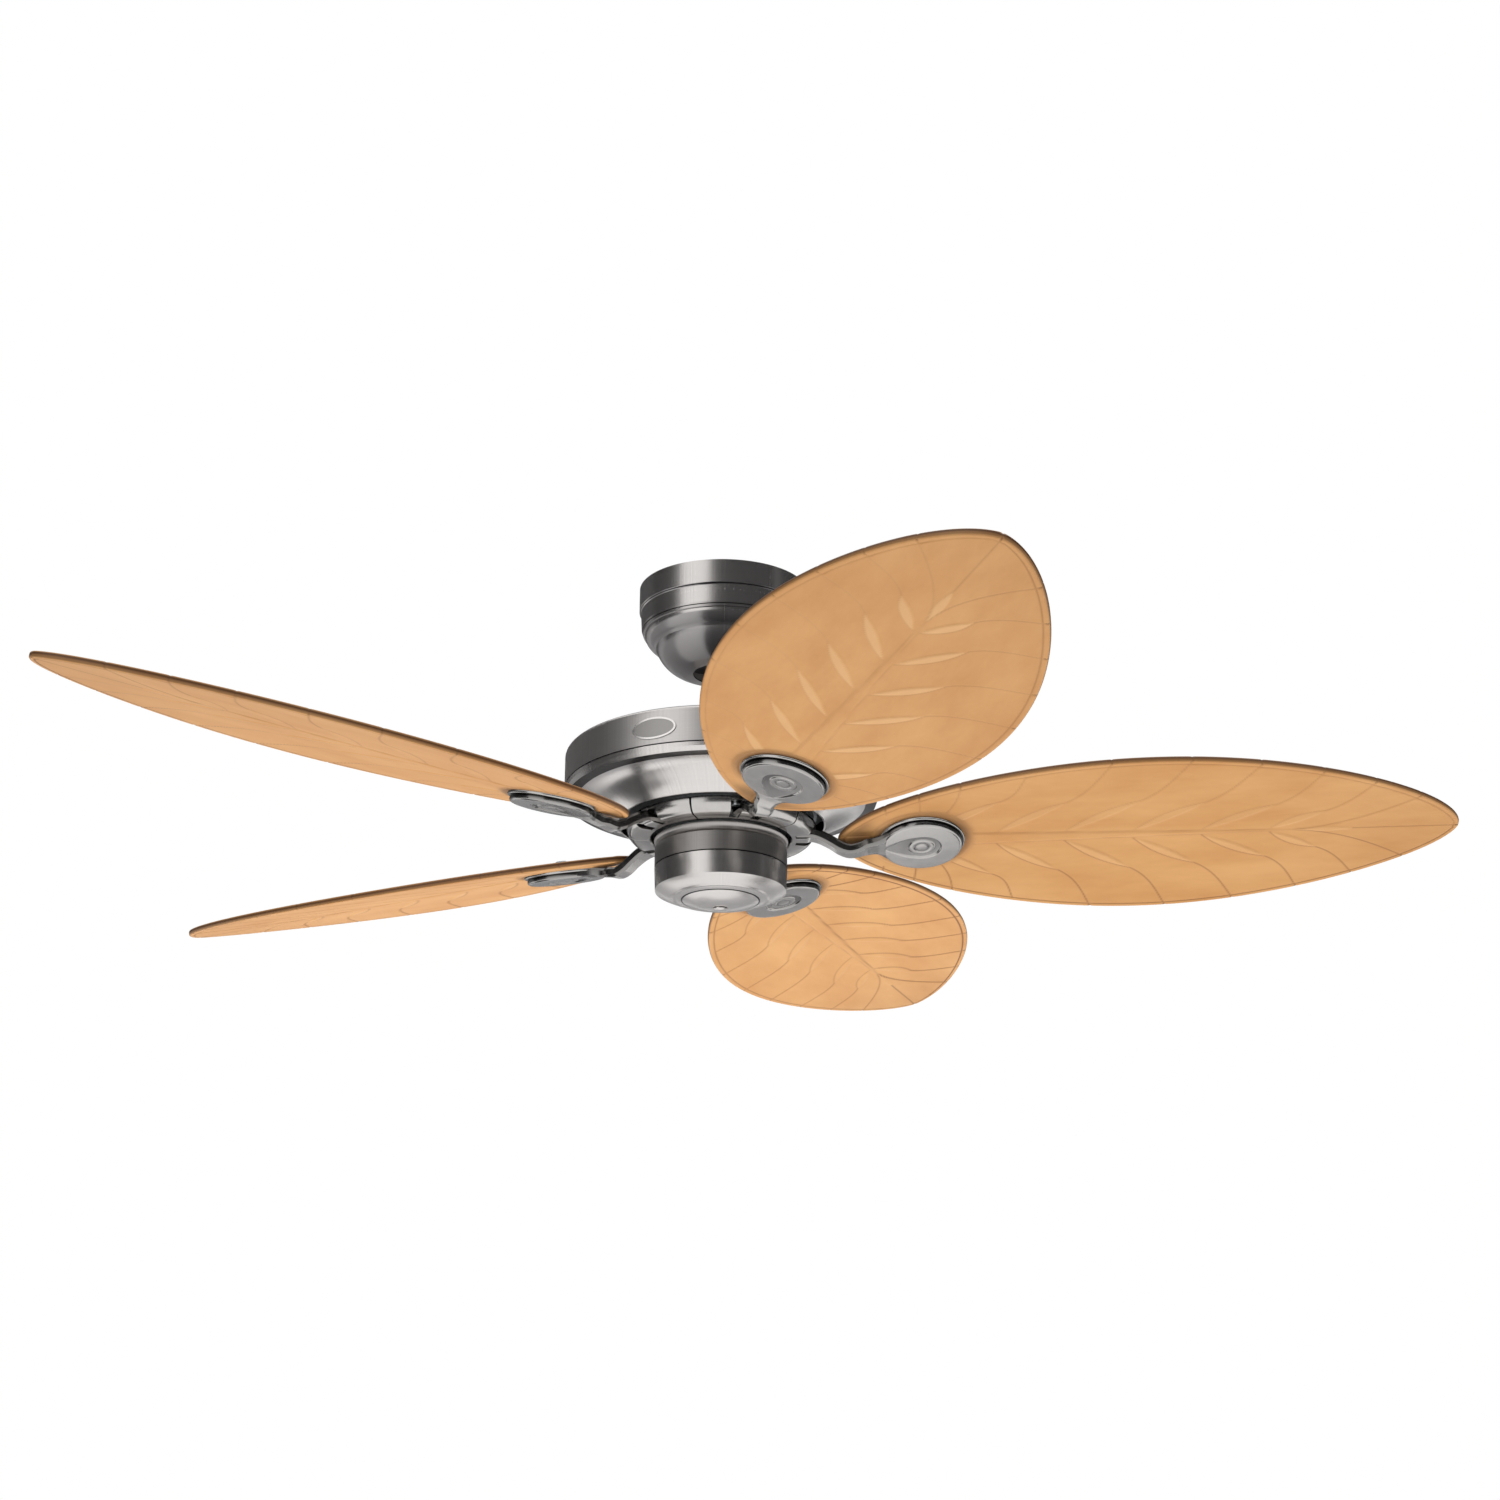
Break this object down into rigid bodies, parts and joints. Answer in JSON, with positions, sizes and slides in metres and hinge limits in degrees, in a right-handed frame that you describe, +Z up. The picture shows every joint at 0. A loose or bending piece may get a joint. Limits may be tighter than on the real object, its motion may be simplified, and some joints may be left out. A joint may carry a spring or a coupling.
{
  "type": "outdoor ceiling fan",
  "caption": "Ceiling fan with leaf-shaped blades on cranked irons, a drum motor housing, a short downrod with canopy and a domed switch housing, turning freely under a ceiling mount.",
  "frame": {"origin": "middle of the ceiling plane, at the centre of the hanger bracket's bolt slots", "axes": "+Z up into the ceiling along the fan's axis, +X along the first blade and along the line of the bolt slots"},
  "size_m": [1.2458, 1.3063, 0.3182],
  "materials": {
    "brushed_nickel": "turned and brushed, dark nickel tone",
    "zinc_plated_steel": "zinc plated",
    "ground_steel": "ground",
    "die_cast_aluminium": "as cast",
    "laminated_steel": "stacked sheet, oiled",
    "copper_winding": "enamelled wire",
    "leaf_resin": "moulded all-weather resin, light tan, satin",
    "black_nylon": "moulded",
    "grommet_rubber": "matt"
  },
  "bodies": {
    "ceiling_mount": {"hanger_bracket": "zinc_plated_steel", "canopy": "brushed_nickel", "canopy_screws": "zinc_plated_steel"},
    "hanging_motor": {"hanger_ball": "black_nylon", "ball_pin": "zinc_plated_steel", "downrod": "brushed_nickel", "coupling": "die_cast_aluminium", "coupling_pin": "zinc_plated_steel", "pin_clip": "zinc_plated_steel", "coupling_set_screws": "zinc_plated_steel", "coupling_cover": "brushed_nickel", "upper_housing": "brushed_nickel", "housing_screws": "zinc_plated_steel", "lower_housing": "brushed_nickel", "band_screws": "zinc_plated_steel", "oval_badge": "brushed_nickel", "motor_shaft": "ground_steel", "stator_core": "laminated_steel", "stator_windings": "copper_winding", "plate_spacer": "zinc_plated_steel", "switch_plate": "zinc_plated_steel", "switch_plate_screws": "zinc_plated_steel", "shaft_nut": "zinc_plated_steel", "upper_switch_housing": "brushed_nickel", "lower_switch_housing": "brushed_nickel", "switch_side_screws": "zinc_plated_steel", "switch_cap": "brushed_nickel", "cap_plug": "brushed_nickel", "capacitor": "black_nylon", "reverse_switch_body": "black_nylon"},
    "rotor": {"upper_bell": "die_cast_aluminium", "rotor_ring": "laminated_steel", "lower_bell": "die_cast_aluminium", "rotor_bolts": "zinc_plated_steel", "upper_bearing": "ground_steel", "lower_bearing": "ground_steel", "iron_screws": "zinc_plated_steel", "blade_grommets": "grommet_rubber", "blade_screws": "zinc_plated_steel", "blade_iron_1": "brushed_nickel", "blade_iron_2": "brushed_nickel", "blade_iron_3": "brushed_nickel", "blade_iron_4": "brushed_nickel", "blade_iron_5": "brushed_nickel", "blade_1": "leaf_resin", "blade_2": "leaf_resin", "blade_3": "leaf_resin", "blade_4": "leaf_resin", "blade_5": "leaf_resin"},
    "reverse_slider": {"reverse_slider": "black_nylon"}
  },
  "joints": [
    {"name": "hanger_swing", "type": "hinge", "parent": "ceiling_mount", "child": "hanging_motor", "pos_m": [0, 0, -0.048], "axis": [1, 0, 0], "range_deg": [-10, 10]},
    {"name": "fan_spin", "type": "hinge", "parent": "hanging_motor", "child": "rotor", "pos_m": [0, 0, -0.2], "axis": [0, 0, 1], "continuous": true},
    {"name": "reverse_switch_slide", "type": "slide", "parent": "hanging_motor", "child": "reverse_slider", "axis": [1, 0, 0], "range_m": [0, 0.005]}
  ]
}
